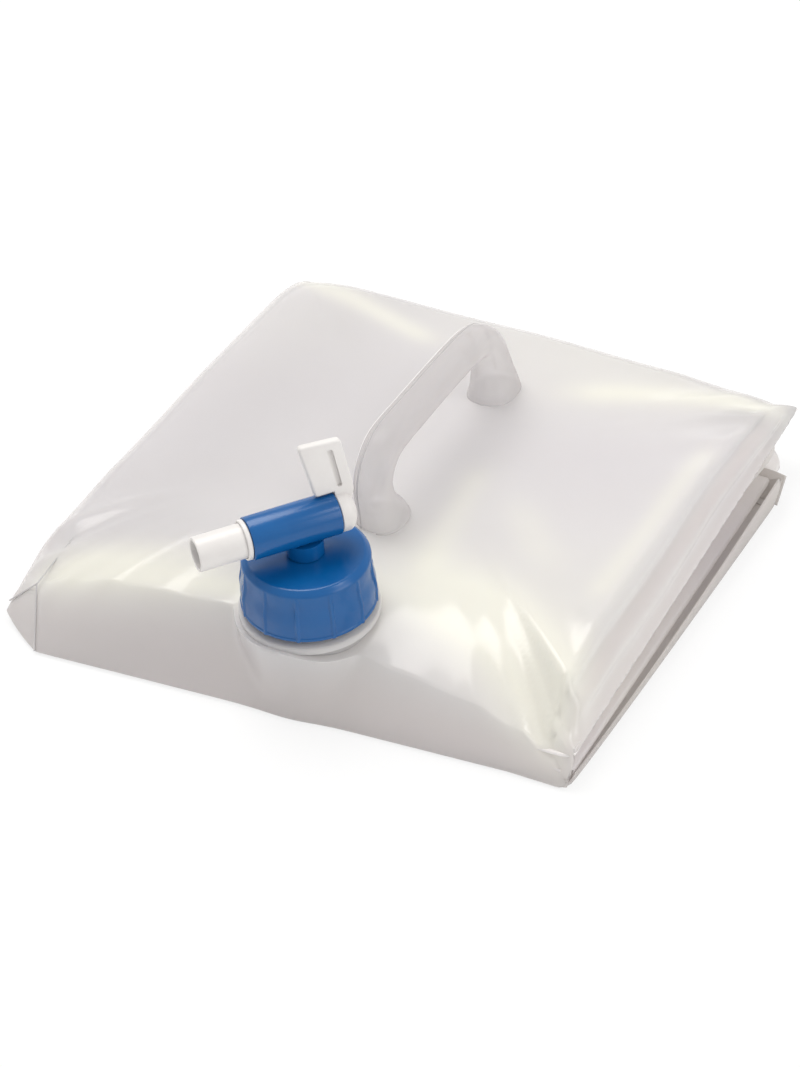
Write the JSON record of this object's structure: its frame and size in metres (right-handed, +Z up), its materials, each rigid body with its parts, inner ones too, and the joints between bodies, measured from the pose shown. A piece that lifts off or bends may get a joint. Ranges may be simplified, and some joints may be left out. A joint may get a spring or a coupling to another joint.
{
  "type": "collapsible water carrier",
  "caption": "Square clear film water bag that folds flat along wall creases, with a loop handle and a screw cap carrying a lever tap.",
  "frame": {"origin": "on the floor under the middle of the bag, at the underside of the base film", "axes": "+Z up, -Y towards the wall with the neck, +X to the right of someone facing that wall"},
  "size_m": [0.28, 0.3111, 0.1266],
  "materials": {
    "clear_film": "glossy milky film",
    "moulded_clear": "glossy milky moulding",
    "blue_plastic": "semi-gloss moulded",
    "white_plastic": "semi-gloss moulded",
    "rubber": "matt"
  },
  "bodies": {
    "base": {"base_film": "clear_film"},
    "back_lower": {"back_lower_fold": "clear_film", "back_lower_tuck": "clear_film"},
    "back_upper": {"back_upper_fold": "clear_film", "back_upper_tuck": "clear_film"},
    "top": {"top_film": "clear_film", "neck": "moulded_clear", "handle": "moulded_clear"},
    "front_lower": {"front_lower_fold": "clear_film", "front_lower_tuck": "clear_film"},
    "front_upper": {"front_upper_fold": "clear_film", "front_upper_tuck": "clear_film"},
    "right_lower": {"right_lower_fold": "clear_film", "right_lower_tuck": "clear_film"},
    "right_upper": {"right_upper_fold": "clear_film", "right_upper_tuck": "clear_film"},
    "left_lower": {"left_lower_fold": "clear_film", "left_lower_tuck": "clear_film"},
    "left_upper": {"left_upper_fold": "clear_film", "left_upper_tuck": "clear_film"},
    "seal": {"cap_seal": "rubber"},
    "cap": {"screw_cap": "blue_plastic", "tap_barrel": "blue_plastic"},
    "tap": {"spout_plug": "white_plastic", "spout_collar": "white_plastic", "plug_ring_front": "rubber", "plug_ring_rear": "rubber", "lever": "white_plastic"}
  },
  "joints": [
    {"name": "unfold", "type": "hinge", "parent": "base", "child": "back_lower", "pos_m": [0, 0.1398, 0.015], "axis": [-1, 0, 0], "range_deg": [0, 84.24], "deforming": ["back_lower_tuck"]},
    {"name": "back_middle_crease", "type": "hinge", "parent": "back_lower", "child": "back_upper", "pos_m": [0, 0.05997, 0.02025], "axis": [1, 0, 0], "range_deg": [0, 168.47], "deforming": ["back_upper_tuck"]},
    {"name": "back_upper_crease", "type": "hinge", "parent": "back_upper", "child": "top", "pos_m": [0, 0.1398, 0.0255], "axis": [-1, 0, 0], "range_deg": [0, 84.24]},
    {"name": "front_lower_crease", "type": "hinge", "parent": "base", "child": "front_lower", "pos_m": [0, -0.1398, 0.003], "axis": [1, 0, 0], "range_deg": [0, 87.06], "deforming": ["front_lower_tuck"]},
    {"name": "front_upper_crease", "type": "hinge", "parent": "top", "child": "front_upper", "pos_m": [0, -0.1398, 0.0055], "axis": [-1, 0, 0], "range_deg": [0, 87.06], "deforming": ["front_upper_tuck"]},
    {"name": "right_lower_crease", "type": "hinge", "parent": "base", "child": "right_lower", "pos_m": [0.1398, 0, 0.00975], "axis": [0, 1, 0.0089], "range_deg": [0, 86.59], "deforming": ["right_lower_tuck"]},
    {"name": "right_upper_crease", "type": "hinge", "parent": "top", "child": "right_upper", "pos_m": [0.1398, 0, 0.02225], "axis": [0, -0.9985, -0.0554], "range_deg": [0, 86.23], "deforming": ["right_upper_tuck"]},
    {"name": "left_lower_crease", "type": "hinge", "parent": "base", "child": "left_lower", "pos_m": [-0.1398, 0, 0.00975], "axis": [0, -1, -0.0089], "range_deg": [0, 86.59], "deforming": ["left_lower_tuck"]},
    {"name": "left_upper_crease", "type": "hinge", "parent": "top", "child": "left_upper", "pos_m": [-0.1398, 0, 0.02225], "axis": [0, 0.9985, 0.0554], "range_deg": [0, 86.23], "deforming": ["left_upper_tuck"]},
    {"name": "cap_lift", "type": "slide", "parent": "top", "child": "seal", "axis": [0, -0.0872, 0.9962], "range_m": [0, 0.00901]},
    {"name": "cap_turn", "type": "hinge", "parent": "seal", "child": "cap", "pos_m": [0.009, -0.1254, 0.0494], "axis": [0, -0.0872, 0.9962], "range_deg": [0, 540]},
    {"name": "tap_turn", "type": "hinge", "parent": "cap", "child": "tap", "pos_m": [0.009, -0.12903, 0.09094], "axis": [0.6468, 0.7598, 0.0665], "range_deg": [0, 90]}
  ],
  "couplings": [
    {"joint": "back_middle_crease", "follows": "unfold", "ratio": 2},
    {"joint": "back_upper_crease", "follows": "unfold", "ratio": 1},
    {"joint": "front_lower_crease", "follows": "unfold", "ratio": 1.0335},
    {"joint": "front_upper_crease", "follows": "unfold", "ratio": 1.0335},
    {"joint": "right_lower_crease", "follows": "unfold", "ratio": 1.0279},
    {"joint": "right_upper_crease", "follows": "unfold", "ratio": 1.0237},
    {"joint": "left_lower_crease", "follows": "unfold", "ratio": 1.0279},
    {"joint": "left_upper_crease", "follows": "unfold", "ratio": 1.0237},
    {"joint": "cap_lift", "follows": "cap_turn", "m_per_rad": 0.00095493}
  ]
}
